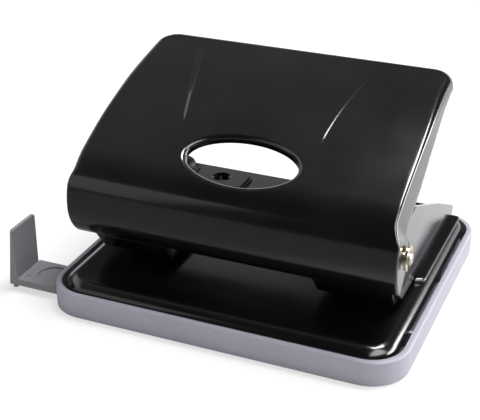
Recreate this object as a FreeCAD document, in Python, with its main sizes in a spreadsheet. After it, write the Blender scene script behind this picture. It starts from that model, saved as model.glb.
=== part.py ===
import FreeCAD, Part
import Sketcher
import math
import os
import re

# A two-hole desk paper punch: a steel pan in a plastic chip tray, a bent steel
# frame with two guided punches, and a pressed lever handle that turns on two pins.
# Frame: origin at the middle of the tray's underside, +X right, +Y back, +Z up.

Vector = FreeCAD.Vector
doc = FreeCAD.newDocument("PaperPunch")
sizes = doc.addObject("Spreadsheet::Sheet", "Sizes")

DIMENSIONS = [
    ("TrayWidth", 127.0), ("TrayDepth", 111.5), ("TrayHeight", 8.6), ("TrayCorner", 13.5),
    ("TrayWall", 2.0), ("TrayFloor", 1.5),
    ("PanWidth", 119.6), ("PanDepth", 105.6), ("PanBottom", 7.0), ("PanTop", 11.2),
    ("PanCorner", 9.8), ("PanSheet", 1.2), ("PanDraft", 10.8), ("PanEdge", 2.4),
    ("HoleSpacing", 80.0), ("PunchRadius", 2.75), ("PunchFit", 0.05), ("PunchBack", -18.0),
    ("TipHeight", 14.2), ("HeadTop", 49.9), ("HeadRadius", 6.0), ("HeadThick", 2.0),
    ("FrameHalf", 55.0), ("FrameSheet", 1.5), ("FrameTop", 35.5), ("LegFront", -33.0),
    ("PaperGap", 2.8), ("LegBend", 20.7), ("StopDepth", 12.0),
    ("PivotBack", -36.0), ("PivotHeight", 37.0), ("PivotRadius", 2.0),
    ("SpacerThick", 1.8), ("ClipInner", 58.45), ("ClipThick", 0.8),
    ("HandleHalf", 58.3), ("HandleBackHalf", 56.6), ("HandleBack", 33.0),
    ("HandleEdge", 2.8), ("HandleSheet", 1.2), ("HandleCorner", 12.0),
    ("OvalHalfWidth", 19.6), ("OvalHalfHeight", 9.9), ("OvalBack", -28.7), ("OvalHeight", 56.5),
    ("OvalTilt", 27.0), ("OvalCollar", 2.9),
    ("HingeBack", 46.0), ("HingeHeight", 6.2), ("PegRadius", 1.5),
    ("BarWidth", 15.2), ("BarThick", 2.5), ("BarBottom", 1.8), ("BarMiddle", -39.9),
    ("FenceFace", -78.8), ("FenceTop", 23.8), ("FenceDepth", 14.5), ("FenceMiddle", -40.25),
]
for row, (alias, number) in enumerate(DIMENSIONS, start=1):
    sizes.set("A%d" % row, alias)
    sizes.set("B%d" % row, str(number))
    sizes.setAlias("B%d" % row, alias)
doc.recompute()


def value(text):
    """The number that an expression gives; plain numbers pass through."""
    if isinstance(text, (int, float)):
        return float(text)
    return float(sizes.evalExpression(text))


def bind(target, path, text):
    """Drive one size of an object from the sheet, where the size is an expression."""
    if not isinstance(text, (int, float)):
        target.setExpression(path, re.sub(r"(?<![\w.])([A-Z]\w+)", r"Sizes.\1", text))


# ---- sketch helpers ---------------------------------------------------------

def new_body(label):
    body = doc.addObject("PartDesign::Body", "Body_" + label)
    body.Label = label
    return body


def origin_plane(body, role):
    for feature in body.Origin.OriginFeatures:
        if feature.Role == role:
            return feature
    raise ValueError(role)


def new_sketch(body, role, offset=0.0, placement=None):
    """A sketch on one of the body's own origin planes, moved along its normal."""
    sketch = body.newObject("Sketcher::SketchObject", body.Label + "_sketch")
    sketch.AttachmentSupport = [(origin_plane(body, role), "")]
    sketch.MapMode = "FlatFace"
    if placement is not None:
        sketch.AttachmentOffset = placement
    else:
        sketch.AttachmentOffset = FreeCAD.Placement(Vector(0, 0, value(offset)), FreeCAD.Rotation())
        bind(sketch, "AttachmentOffset.Base.z", offset)
    return sketch


def hold(sketch, geometry, position, x, y):
    """Fix one sketch point by its two distances from the sketch's origin."""
    for kind, axis, number in (("DistanceX", -2, x), ("DistanceY", -1, y)):
        if abs(value(number)) < 1e-9:
            sketch.addConstraint(Sketcher.Constraint("PointOnObject", geometry, position, axis))
            continue
        index = sketch.addConstraint(
            Sketcher.Constraint(kind, -1, 1, geometry, position, value(number)))
        bind(sketch, "Constraints[%d]" % index, number)


def outline(sketch, steps):
    """One closed outline. A step is a point (x, y), or an arc (through x, y, to x, y)."""
    ends = [step[-2:] for step in steps]
    ids = []
    for number, step in enumerate(steps):
        start = Vector(value(ends[number - 1][0]), value(ends[number - 1][1]), 0)
        stop = Vector(value(step[-2]), value(step[-1]), 0)
        if len(step) == 2:
            made = sketch.addGeometry(Part.LineSegment(start, stop), False)
            ids.append((made, 1, 2))
            continue
        middle = Vector(value(step[0]), value(step[1]), 0)
        # Sketch arcs run anticlockwise, so a clockwise one is drawn from its far end.
        if (middle - start).cross(stop - middle).z > 0:
            made = sketch.addGeometry(Part.Arc(start, middle, stop), False)
            ids.append((made, 1, 2))
        else:
            made = sketch.addGeometry(Part.Arc(stop, middle, start), False)
            ids.append((made, 2, 1))
    for number, (made, head, tail) in enumerate(ids):
        following = ids[(number + 1) % len(ids)]
        sketch.addConstraint(Sketcher.Constraint("Coincident", made, tail, following[0], following[1]))
        hold(sketch, made, tail, ends[number][0], ends[number][1])


def ring(sketch, x, y, radius):
    """A full circle."""
    made = sketch.addGeometry(Part.Circle(Vector(value(x), value(y), 0), Vector(0, 0, 1),
                                          value(radius)), False)
    hold(sketch, made, 3, x, y)
    index = sketch.addConstraint(Sketcher.Constraint("Radius", made, value(radius)))
    bind(sketch, "Constraints[%d]" % index, radius)


def box_steps(x0, x1, y0, y1):
    return [(x0, y0), (x1, y0), (x1, y1), (x0, y1)]


def rounded_steps(width, depth, radius):
    """A rectangle about the origin with round corners, as steps for outline()."""
    a = "((%s) / 2)" % width
    b = "((%s) / 2)" % depth
    r = "(%s)" % radius
    k = "* 0.29289322"
    return [
        ("%s - %s" % (a, r), "-%s" % b),
        ("%s - %s %s" % (a, r, k), "-%s + %s %s" % (b, r, k), a, "-%s + %s" % (b, r)),
        (a, "%s - %s" % (b, r)),
        ("%s - %s %s" % (a, r, k), "%s - %s %s" % (b, r, k), "%s - %s" % (a, r), b),
        ("-%s + %s" % (a, r), b),
        ("-%s + %s %s" % (a, r, k), "%s - %s %s" % (b, r, k), "-%s" % a, "%s - %s" % (b, r)),
        ("-%s" % a, "-%s + %s" % (b, r)),
        ("-%s + %s %s" % (a, r, k), "-%s + %s %s" % (b, r, k), "-%s + %s" % (a, r), "-%s" % b),
    ]


def feature(body, kind, sketch, length, both=False, back=False, taper=0.0):
    """A Pad or a Pocket from a sketch; a Pocket has to remove something."""
    before = body.Shape.Volume if body.Tip is not None else 0.0
    made = body.newObject("PartDesign::" + kind, body.Label + "_" + kind.lower())
    made.Profile = sketch
    made.Length = value(length)
    bind(made, "Length", length)
    if both:
        made.SideType = "Symmetric"
    made.Reversed = back
    made.TaperAngle = value(taper)
    doc.recompute()
    if kind == "Pocket" and not body.Shape.Volume < before - 1e-6:
        raise ValueError("pocket cuts nothing: " + made.Name)
    if kind == "Pad" and not body.Shape.Volume > before + 1e-6:
        raise ValueError("pad adds nothing: " + made.Name)
    return made


def edges_where(shape, test):
    """Names of the edges whose bounding box passes the test."""
    return ["Edge%d" % number for number, edge in enumerate(shape.Edges, start=1)
            if test(edge.BoundBox)]


def round_edges(body, radius, test):
    base = body.Tip
    names = edges_where(base.Shape, test)
    made = body.newObject("PartDesign::Fillet", body.Label + "_fillet")
    made.Base = (base, names)
    made.Radius = radius
    doc.recompute()
    return made


def cut(label, base, tool):
    made = doc.addObject("Part::Cut", label)
    made.Label = label
    made.Base = base
    made.Tool = tool
    doc.recompute()
    return made


def fuse(label, shapes):
    made = doc.addObject("Part::MultiFuse", label)
    made.Label = label
    made.Shapes = shapes
    doc.recompute()
    return made


def common(label, base, tool):
    made = doc.addObject("Part::MultiCommon", label)
    made.Label = label
    made.Shapes = [base, tool]
    doc.recompute()
    return made


def cylinder(label, radius, length, position, direction):
    """A Part cylinder bound to the sheet; position holds three numbers or expressions."""
    made = doc.addObject("Part::Cylinder", label)
    made.Label = label
    made.Radius = value(radius)
    made.Height = value(length)
    bind(made, "Radius", radius)
    bind(made, "Height", length)
    made.Placement = FreeCAD.Placement(Vector(*[value(n) for n in position]),
                                       FreeCAD.Rotation(Vector(0, 0, 1), Vector(*direction)))
    for axis, number in zip("xyz", position):
        bind(made, "Placement.Base." + axis, number)
    return made


nodes = {}


def keep(label, made):
    made.Label = label
    nodes[label] = made
    return made


# ---- tray -------------------------------------------------------------------

def build_chip_tray():
    """Moulded tray that catches the chips; the guide bar runs along its front."""
    body = new_body("chip_tray")
    sketch = new_sketch(body, "XY_Plane")
    outline(sketch, rounded_steps("TrayWidth", "TrayDepth", "TrayCorner"))
    feature(body, "Pad", sketch, "TrayHeight")
    round_edges(body, 0.9, lambda b: b.ZMin > 8.5)
    sketch = new_sketch(body, "XY_Plane", "TrayHeight")
    outline(sketch, rounded_steps("TrayWidth - 2 * TrayWall", "TrayDepth - 2 * TrayWall",
                                  "TrayCorner - TrayWall"))
    feature(body, "Pocket", sketch, "TrayHeight - TrayFloor")
    # Rib that closes the chip chamber off from the guide channel: full width under the
    # pan's wall, then up to the pan's underside between the walls.
    sketch = new_sketch(body, "XZ_Plane", 30.0)
    outline(sketch, [(-61.5, 1.5), (61.5, 1.5), (61.5, 6.8), (55.0, 6.8), (55.0, 9.8),
                     (-55.0, 9.8), (-55.0, 6.8), (-61.5, 6.8)])
    feature(body, "Pad", sketch, 1.5, both=True)
    # Low rib in front of the guide bar.
    sketch = new_sketch(body, "XY_Plane", "TrayFloor")
    outline(sketch, box_steps(-61.5, 25.0, -49.4, -48.0))
    feature(body, "Pad", sketch, 2.6)
    # Ledges that the pan's wall stands on.
    sketch = new_sketch(body, "XY_Plane", "TrayFloor")
    for x in (-38.0, 38.0):
        outline(sketch, box_steps(x - 5.0, x + 5.0, -52.4, -50.6))
    for side in (-1, 1):
        outline(sketch, box_steps(*sorted((side * 57.6, side * 59.4)), 14.0, 24.0))
    feature(body, "Pad", sketch, "PanBottom - TrayFloor")
    # Slot for the guide bar in the left wall.
    sketch = new_sketch(body, "YZ_Plane", -60.0)
    outline(sketch, box_steps("BarMiddle - BarWidth / 2 - 0.3", "BarMiddle + BarWidth / 2 + 0.3",
                              "TrayFloor", "BarBottom + BarThick + 0.4"))
    feature(body, "Pocket", sketch, 8.0)
    # Hinge posts with pegs at the back.
    for side in (-1, 1):
        sketch = new_sketch(body, "YZ_Plane", side * 41.5)
        outline(sketch, [("HingeBack - 3", "TrayFloor"), ("HingeBack + 3", "TrayFloor"),
                         ("HingeBack + 2.6", "HingeHeight"),
                         ("HingeBack", "HingeHeight + 2.6", "HingeBack - 2.6", "HingeHeight")])
        feature(body, "Pad", sketch, 3.0, both=True)
        sketch = new_sketch(body, "YZ_Plane", side * 41.5)
        ring(sketch, "HingeBack", "HingeHeight", "PegRadius")
        feature(body, "Pad", sketch, 4.4, back=side < 0)
    keep("chip_tray", body)


# ---- base plate and dies ----------------------------------------------------

def build_base_plate():
    """Pressed steel pan with drafted walls, die seats, slots and two hinge ears."""
    body = new_body("base_plate")
    sketch = new_sketch(body, "XY_Plane", "PanBottom")
    outline(sketch, rounded_steps("PanWidth", "PanDepth", "PanCorner"))
    feature(body, "Pad", sketch, "PanTop - PanBottom", taper="-PanDraft")
    round_edges(body, value("PanEdge"), lambda b: b.ZMin > value("PanTop") - 0.01)
    sketch = new_sketch(body, "XY_Plane", "PanBottom")
    outline(sketch, rounded_steps("PanWidth - 2 * PanSheet", "PanDepth - 2 * PanSheet",
                                  "PanCorner - PanSheet"))
    feature(body, "Pocket", sketch, "PanTop - PanBottom - PanSheet",
            back=True, taper="-PanDraft")
    inner = value("PanTop - PanSheet")
    round_edges(body, value("PanEdge - PanSheet"),
                lambda b: abs(b.ZMin - inner) < 0.01 and abs(b.ZMax - inner) < 0.01)
    sketch = new_sketch(body, "XY_Plane", "PanTop")
    for side in ("-", ""):
        ring(sketch, side + "HoleSpacing / 2", "PunchBack", 5.0)
    feature(body, "Pocket", sketch, 3.0)
    # Slots that take the frame's staking tabs.
    sketch = new_sketch(body, "XY_Plane", "PanTop")
    for side in (-1, 1):
        x0, x1 = sorted((side * 53.5, side * 55.0))
        outline(sketch, box_steps(x0, x1, 4.0, 10.0))
        outline(sketch, box_steps(x0, x1, 34.0, 40.0))
    feature(body, "Pocket", sketch, 3.0)
    # Ears bent down at the back, which turn on the tray's pegs.
    for side in (-1, 1):
        sketch = new_sketch(body, "YZ_Plane", side * 44.6)
        outline(sketch, [("HingeBack + 3", "PanTop - PanSheet"),
                         ("HingeBack - 3", "PanTop - PanSheet"),
                         ("HingeBack - 3", "HingeHeight"),
                         ("HingeBack", "HingeHeight - 3", "HingeBack + 3", "HingeHeight")])
        ring(sketch, "HingeBack", "HingeHeight", "PegRadius + 0.05")
        feature(body, "Pad", sketch, 1.2, both=True)
    keep("base_plate", body)


def build_die(label, side):
    """Hardened die bushing, flush with the pan, with a collar under it."""
    body = new_body(label)
    sketch = new_sketch(body, "XZ_Plane", 18.0)
    x = "%d * HoleSpacing / 2" % side
    bore = x + " + PunchRadius + PunchFit"
    outline(sketch, [(bore, "PanTop"), (bore, 8.4), (x + " + 6.2", 8.4),
                     (x + " + 6.2", "PanTop - PanSheet"), (x + " + 5", "PanTop - PanSheet"),
                     (x + " + 5", "PanTop")])
    axis = sketch.addGeometry(Part.LineSegment(Vector(side * 40.0, 0, 0),
                                               Vector(side * 40.0, 20, 0)), True)
    hold(sketch, axis, 1, x, 0.0)
    hold(sketch, axis, 2, x, 20.0)
    made = body.newObject("PartDesign::Revolution", label + "_turn")
    made.Profile = sketch
    made.ReferenceAxis = (sketch, ["Axis0"])
    made.Angle = 360
    doc.recompute()
    keep(label, body)


# ---- frame ------------------------------------------------------------------

def build_punch_frame():
    """Bent steel frame: top plate, two ears with feet, and under the front edge two
    legs that turn back as the lower guide plates and end as the paper stop."""
    body = new_body("punch_frame")
    # Guide legs: one bent strip each, cut to the leg's tapered outline below.
    sketch = new_sketch(body, "YZ_Plane")
    outline(sketch, [("LegFront", "FrameTop"), ("LegFront", "LegBend"),
                     ("LegFront + 5", "PanTop + PaperGap"),
                     ("PunchBack + StopDepth", "PanTop + PaperGap"),
                     ("PunchBack + StopDepth", "PanTop"),
                     ("PunchBack + StopDepth + FrameSheet", "PanTop"),
                     ("PunchBack + StopDepth + FrameSheet", "PanTop + PaperGap + FrameSheet"),
                     ("LegFront + 5.7", "PanTop + PaperGap + FrameSheet"),
                     ("LegFront + FrameSheet", "LegBend + 0.55"), ("LegFront + FrameSheet", "FrameTop")])
    feature(body, "Pad", sketch, "2 * FrameHalf - 2", both=True)
    sketch = new_sketch(body, "XZ_Plane")
    outline(sketch, box_steps(-60.0, 60.0, 5.0, "FrameTop - FrameSheet"))
    for side in (-1, 1):
        outline(sketch, [(side * 53.9, "FrameTop - FrameSheet - 0.01"), (side * 53.9, 21.5),
                         (side * 53.2, 10.0), (side * 27.2, 10.0), (side * 26.8, 21.5),
                         (side * 26.8, "FrameTop - FrameSheet - 0.01")])
    feature(body, "Pocket", sketch, 100.0, both=True)
    # Top plate.
    sketch = new_sketch(body, "XY_Plane", "FrameTop")
    outline(sketch, box_steps("-FrameHalf", "FrameHalf", "LegFront", 6.1))
    feature(body, "Pad", sketch, "FrameSheet", back=True)
    front = value("LegFront")
    top = value("FrameTop")
    round_edges(body, 1.4, lambda b: abs(b.YMin - front) < 0.01 and abs(b.YMax - front) < 0.01
                and b.ZMin > top - 0.01 and b.XLength > 50)
    # Ears: the pivot end is round, the back end runs down to the pan.
    for side in (-1, 1):
        sketch = new_sketch(body, "YZ_Plane", "%d * (FrameHalf - FrameSheet / 2)" % side)
        outline(sketch, [
            (-24.0, "PanTop + 3.4"), ("PunchBack + StopDepth", "PanTop + 3.4"),
            ("PunchBack + StopDepth", "PanTop"), (45.2, "PanTop"), (45.2, 14.4),
            (45.6, 16.2, 44.2, 17.9), (25.4, 26.9), (23.6, 28.0), (6.3, 35.4), (-12.0, 43.2),
            (-14.6, 43.9, -17.4, 43.6), ("PivotBack", "PivotHeight + 4.7"),
            ("PivotBack - 4.7", "PivotHeight", "PivotBack - 1.5", "PivotHeight - 4.45"),
            (-33.4, 29.0), (-32.2, 22.5)])
        feature(body, "Pad", sketch, "FrameSheet", both=True)
    # Feet turned outwards on the pan.
    sketch = new_sketch(body, "XY_Plane", "PanTop")
    for side in (-1, 1):
        outer = "%d * (FrameHalf + 3)" % side
        inner = "%d * (FrameHalf - 0.2)" % side
        outline(sketch, [(inner, -6.5), (outer, -5.0), (outer, 44.0),
                         ("%d * (FrameHalf + 2.4)" % side, 46.0), (inner, 46.0)])
    feature(body, "Pad", sketch, "FrameSheet")
    outer = value("FrameHalf + 3") - 0.01
    round_edges(body, 2.4, lambda b: abs(b.Center.x) > outer and b.YLength < 0.01 and b.YMax < 0)
    foot = value("PanTop + FrameSheet") - 0.01
    round_edges(body, 1.1, lambda b: abs(b.Center.x) > outer and b.ZMin > foot
                and b.YLength > 30)
    # Staking tabs through the pan.
    sketch = new_sketch(body, "XY_Plane", "PanTop")
    for side in (-1, 1):
        x0, x1 = sorted((side * 53.5, side * 55.0))
        outline(sketch, box_steps(x0, x1, 4.0, 10.0))
        outline(sketch, box_steps(x0, x1, 34.0, 40.0))
    feature(body, "Pad", sketch, 2.6, back=True)
    # Guide holes for the punches, through the top plate and the lower plates.
    sketch = new_sketch(body, "XY_Plane", 40.0)
    for side in ("-", ""):
        ring(sketch, side + "HoleSpacing / 2", "PunchBack", "PunchRadius + PunchFit")
    feature(body, "Pocket", sketch, 28.0)
    sketch = new_sketch(body, "YZ_Plane")
    ring(sketch, "PivotBack", "PivotHeight", "PivotRadius")
    feature(body, "Pocket", sketch, 130.0, both=True)
    keep("punch_frame", body)


def build_stop_plate():
    """Strip screwed on the top plate, rounded and stepped at its right end, with one
    countersunk hole."""
    body = new_body("stop_plate")
    sketch = new_sketch(body, "XY_Plane", "FrameTop")
    outline(sketch, [(-12.0, -11.4), (-8.3, -9.2), (-8.3, -1.0), (-9.5, 2.3, -12.8, 3.7),
                     (-36.0, 3.7), (-39.0, 0.7), (-39.0, -8.4), (-36.0, -11.4)])
    feature(body, "Pad", sketch, 0.8)
    sketch = new_sketch(body, "XY_Plane", "FrameTop")
    outline(sketch, [(-12.6, -10.6), (-9.1, -9.2), (-9.1, -1.2), (-10.1, 1.8, -13.0, 3.0),
                     (-36.0, 3.0), (-38.2, 0.2), (-38.2, -8.0), (-36.0, -10.6)])
    feature(body, "Pad", sketch, 1.5)
    sketch = new_sketch(body, "XY_Plane", "FrameTop + 1.5")
    ring(sketch, -18.2, -4.1, 2.6)
    feature(body, "Pocket", sketch, 4.0)
    base = body.Tip
    rim = edges_where(base.Shape, lambda b: b.ZMin > 36.9 and b.XMin > -21.5 and b.XMax < -15.0)
    made = body.newObject("PartDesign::Chamfer", "stop_plate_sink")
    made.Base = (base, rim)
    made.Size = 0.9
    doc.recompute()
    keep("stop_plate", body)


def build_bump_stop():
    """Round black buffer with a square foot on the strip."""
    body = new_body("bump_stop")
    sketch = new_sketch(body, "XY_Plane", "FrameTop + 1.5")
    outline(sketch, box_steps(-37.4, -28.6, -8.2, 0.6))
    feature(body, "Pad", sketch, 1.2)
    sketch = new_sketch(body, "XY_Plane", "FrameTop + 1.5")
    ring(sketch, -33.0, -4.0, 4.3)
    feature(body, "Pad", sketch, 4.6)
    round_edges(body, 2.4, lambda b: b.ZMin > 41.5)
    keep("bump_stop", body)


# ---- punches ----------------------------------------------------------------

def build_punch(label, side):
    """Punch: headed shaft whose tip is ground hollow across its width."""
    body = new_body(label)
    x = "%d * HoleSpacing / 2" % side
    sketch = new_sketch(body, "XZ_Plane", 18.0)
    shaft = x + " + PunchRadius"
    head = x + " + HeadRadius"
    outline(sketch, [(x, "TipHeight"), (shaft, "TipHeight"), (shaft, "HeadTop - HeadThick"),
                     (head, "HeadTop - HeadThick"), (head, "HeadTop - 0.6"),
                     (head + " - 0.6", "HeadTop"), (x, "HeadTop")])
    axis = sketch.addGeometry(Part.LineSegment(Vector(side * 40.0, 0, 0),
                                               Vector(side * 40.0, 20, 0)), True)
    hold(sketch, axis, 1, x, 0.0)
    hold(sketch, axis, 2, x, 20.0)
    made = body.newObject("PartDesign::Revolution", label + "_turn")
    made.Profile = sketch
    made.ReferenceAxis = (sketch, ["Axis0"])
    made.Angle = 360
    doc.recompute()
    sketch = new_sketch(body, "YZ_Plane", x)
    ring(sketch, "PunchBack", "TipHeight - 4.2", 5.0)
    feature(body, "Pocket", sketch, 12.0, both=True)
    keep(label, body)


def build_spring(label, side):
    """Coil return spring between the top plate and the punch head: half turns that tilt
    one way and then the other, each a piece of a ring, so they join smoothly."""
    wire = 0.5
    mean = 4.3
    low = value("FrameTop") + 1.1 * wire
    turns = 4
    sides = 8
    rise = (value("HeadTop - HeadThick") - 0.6 - 1.1 * wire - low) / (2 * turns)
    x = side * value("HoleSpacing") / 2
    y = value("PunchBack")
    arcs = []
    for half in range(2 * turns):
        way = 1 if half % 2 == 0 else -1
        start = Vector(x + way * mean, y, low + rise * half)
        middle = Vector(x, y + way * math.hypot(mean, rise / 2), low + rise * (half + 0.5))
        stop = Vector(x - way * mean, y, low + rise * (half + 1))
        arcs.append(Part.Arc(start, middle, stop).toShape())
    corners = []
    for number in range(sides + 1):
        angle = 2 * math.pi * (number + 0.5) / sides
        corners.append(Vector(x + mean + wire * math.cos(angle), y, low + wire * math.sin(angle)))
    made = doc.addObject("Part::Feature", label)
    made.Shape = Part.Wire(arcs).makePipeShell([Part.makePolygon(corners)], True, False)
    keep(label, made)


def build_washer(label, side):
    """Thin spring seat on the shaft, just under the head."""
    tube = cylinder(label + "_disc", 5.2, 0.6,
                    ("%d * HoleSpacing / 2" % side, "PunchBack",
                     "HeadTop - HeadThick - 0.6"), (0, 0, 1))
    hole = cylinder(label + "_hole", "PunchRadius", 2.0,
                    ("%d * HoleSpacing / 2" % side, "PunchBack",
                     "HeadTop - HeadThick - 1.6"), (0, 0, 1))
    keep(label, cut(label, tube, hole))


# ---- handle -----------------------------------------------------------------

# Arcs of the handle's side outline: centre (y, z), radius, from angle, to angle.
LIP_LOW = ((-29.2, 36.2), 15.1, 233.9, 180.0)
LIP_HIGH = ((-20.1, 36.2), 24.2, 180.0, 154.8)
SHOULDER = ((-22.08, 32.61), 24.28, 145.1, 116.7)
BACK_FACE = ((60.12, -120.11), 197.71, 118.1, 97.0)


def on_arc(arc, part, inset):
    """Point at a share of an arc, moved towards the arc's centre by the inset."""
    (y, z), radius, first, last = arc
    angle = math.radians(first + (last - first) * part)
    return (y + (radius - inset) * math.cos(angle), z + (radius - inset) * math.sin(angle))


def handle_face(inset):
    """Steps of the face from the front lip up past the back edge."""
    steps = [on_arc(LIP_LOW, 0, inset)]
    for arc in (LIP_LOW, LIP_HIGH):
        steps.append(on_arc(arc, 0.5, inset) + on_arc(arc, 1, inset))
    low = on_arc(LIP_HIGH, 1, inset)
    high = on_arc(SHOULDER, 0, inset)
    steps[-1] = steps[-1][:2] + ((low[0] + high[0]) / 2, (low[1] + high[1]) / 2)
    for arc in (SHOULDER, BACK_FACE):
        steps.append(on_arc(arc, 0.5, inset) + on_arc(arc, 1, inset))
    return steps


def handle_form(label, inset):
    """Deep solid behind the face, with tapered sides, round top corners and edges."""
    body = new_body(label)
    sketch = new_sketch(body, "YZ_Plane")
    lip = on_arc(LIP_LOW, 0, inset)
    angle = math.radians(LIP_LOW[2])
    below = (lip[0] - 4 * math.sin(angle), lip[1] + 4 * math.cos(angle))
    outline(sketch, handle_face(inset) + [(36.0, 50.0), (0.0, 35.0), (-18.0, 26.0), below])
    feature(body, "Pad", sketch, 124.0, both=True)
    # Plan outline: sides leaning in a little towards the back, round back corners.
    lean = math.atan2(value("HandleHalf - HandleBackHalf"), 70.0)
    corner = value("HandleCorner") - inset
    back = value("HandleBack") - inset
    turn = back - corner + corner * math.sin(lean)
    side = value("HandleBackHalf") - inset / math.cos(lean) + (value("HandleBack") - turn) * math.tan(lean)
    middle = side - corner * math.cos(lean)
    half_way = (math.pi / 2 + lean) / 2
    foot = side + (turn + 60.0) * math.tan(lean)
    right = [(foot, -60.0), (side, turn),
             (middle + corner * math.cos(half_way), back - corner + corner * math.sin(half_way),
              middle, back)]
    left = [(-middle, back),
            (-middle - corner * math.cos(half_way), back - corner + corner * math.sin(half_way),
             -side, turn), (-foot, -60.0)]
    sketch = new_sketch(body, "XY_Plane", 100.0)
    outline(sketch, box_steps(-70.0, 70.0, -65.0, 60.0))
    outline(sketch, right + left)
    feature(body, "Pocket", sketch, 120.0)
    round_face(body, (LIP_LOW, LIP_HIGH, SHOULDER, BACK_FACE), value("HandleEdge") - inset, inset)
    return body


def build_handle():
    """Pressed sheet lever: bulged face, side flanges with pivot lugs, rolled back edge
    and an oval opening whose rim is turned in."""
    sheet = value("HandleSheet")
    outer = handle_form("handle_outer", 0.0)
    inner = handle_form("handle_inner", sheet)
    # The flanges' back line: a lug round each pivot, then narrowing up to the rolled edge.
    sketch = new_sketch(outer, "YZ_Plane")
    lip = on_arc(LIP_LOW, 0, 0)
    outline(sketch, [
        lip, (-34.6, 28.0), (-32.7, 32.8), (-31.6, 37.6), (-30.6, 43.6),
        (-28.9, 48.6, -24.7, 51.9), (-8.8, 59.9), (24.0, 70.0), (34.0, 70.8), (70.0, 70.8),
        (70.0, -10.0), (-50.0, -10.0), (lip[0] - 1.2, lip[1] - 1.6)])
    feature(outer, "Pocket", sketch, 200.0, both=True)
    shell = cut("handle_sheet", outer, inner)
    turned = FreeCAD.Rotation(Vector(1, 0, 0), value("OvalTilt"))
    middle = Vector(0, value("OvalBack"), value("OvalHeight"))
    tilt = FreeCAD.Placement(middle, turned)
    collar = new_body("handle_collar")
    sketch = new_sketch(collar, "XY_Plane", placement=tilt)
    oval(sketch, "OvalHalfWidth + 1.4", "OvalHalfHeight + 1.4")
    feature(collar, "Pad", sketch, 8.0, both=True)
    under = middle - turned.multVec(Vector(0, 0, value("OvalCollar")))
    low = new_sketch(collar, "XY_Plane", placement=FreeCAD.Placement(under, turned))
    outline(low, box_steps(-40.0, 40.0, -40.0, 40.0))
    feature(collar, "Pocket", low, 20.0)
    ringed = common("handle_collar_trimmed", collar, outer)
    whole = fuse("handle_with_collar", [shell, ringed])
    opening = new_body("handle_opening")
    sketch = new_sketch(opening, "XY_Plane", placement=tilt)
    oval(sketch, "OvalHalfWidth", "OvalHalfHeight")
    feature(opening, "Pad", sketch, 40.0, both=True)
    pierced = cut("handle_pierced", whole, opening)
    bore = cylinder("handle_bore", "PivotRadius + 0.05", 140.0,
                    (-70.0, "PivotBack", "PivotHeight"), (1, 0, 0))
    bored = cut("handle_bored", pierced, bore)
    keep("handle_shell", bored)
    return bored


def round_face(body, arcs, radius, inset):
    """Round the side and back edges of the face along the given arcs."""
    names = []
    base = body.Tip
    for number, edge in enumerate(base.Shape.Edges, start=1):
        box = edge.BoundBox
        spot = edge.valueAt((edge.FirstParameter + edge.LastParameter) / 2)
        side = box.XLength < 30 and abs(spot.x) > 30
        if (side or spot.y > 30) and on_face(spot, arcs, inset):
            names.append("Edge%d" % number)
    made = body.newObject("PartDesign::Fillet", body.Label + "_round")
    made.Base = (base, names)
    made.Radius = radius
    made.Refine = False
    doc.recompute()


def on_face(spot, arcs, inset):
    """True where a point lies on one of the arcs."""
    for (y, z), radius, first, last in arcs:
        away = math.hypot(spot.y - y, spot.z - z)
        angle = math.degrees(math.atan2(spot.z - z, spot.y - y)) % 360
        inside = min(first, last) - 1 <= angle <= max(first, last) + 1
        if inside and abs(away - radius + inset) < 0.06:
            return True
    return False


def oval(sketch, half_width, half_height):
    """Full ellipse about the sketch's origin."""
    a = value(half_width)
    b = value(half_height)
    made = sketch.addGeometry(Part.Ellipse(Vector(a, 0, 0), Vector(0, b, 0), Vector(0, 0, 0)), False)
    hold(sketch, made, 3, 0.0, 0.0)


def build_bracket(label, side, shell):
    """U-bent strap under the handle that presses on one punch head."""
    body = new_body(label + "_strap")
    middle = -20.5
    low = "HeadTop + 0.1"
    sketch = new_sketch(body, "YZ_Plane", side * 40.0)
    outline(sketch, [
        (middle - 4, 58.2), (middle - 4, low + " + 4"),
        (middle, low, middle + 4, low + " + 4"), (middle + 4, 62.0),
        (middle + 2.2, 61.2), (middle + 2.2, low + " + 4"),
        (middle, low + " + 1.8", middle - 2.2, low + " + 4"), (middle - 2.2, 59.2)])
    feature(body, "Pad", sketch, 12.0, both=True)
    trimmed = cut(label, body, shell)
    keep(label, trimmed)


# ---- pivot hardware ---------------------------------------------------------

def build_pivot_pin(label, side):
    """Headed pin fixed in the frame's ear, grooved at its outer end for the clip."""
    body = new_body(label)
    sketch = new_sketch(body, "XY_Plane", "PivotHeight")
    far = 60.2
    groove = value("ClipInner - 0.05")
    steps = [(51.9, 0), (51.9, 3.2), (53.5, 3.2), (53.5, 2.0), (groove, 2.0), (groove, 1.5),
             (groove + 0.9, 1.5), (groove + 0.9, 2.0), (far - 0.4, 2.0), (far, 1.6), (far, 0)]
    outline(sketch, [(side * x, "PivotBack + %s" % y) for x, y in steps])
    axis = sketch.addGeometry(Part.LineSegment(Vector(side * 50.0, -36, 0),
                                               Vector(side * 61.0, -36, 0)), True)
    hold(sketch, axis, 1, side * 50.0, "PivotBack")
    hold(sketch, axis, 2, side * 61.0, "PivotBack")
    made = body.newObject("PartDesign::Revolution", label + "_turn")
    made.Profile = sketch
    made.ReferenceAxis = (sketch, ["Axis0"])
    made.Angle = 360
    doc.recompute()
    keep(label, body)


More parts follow.
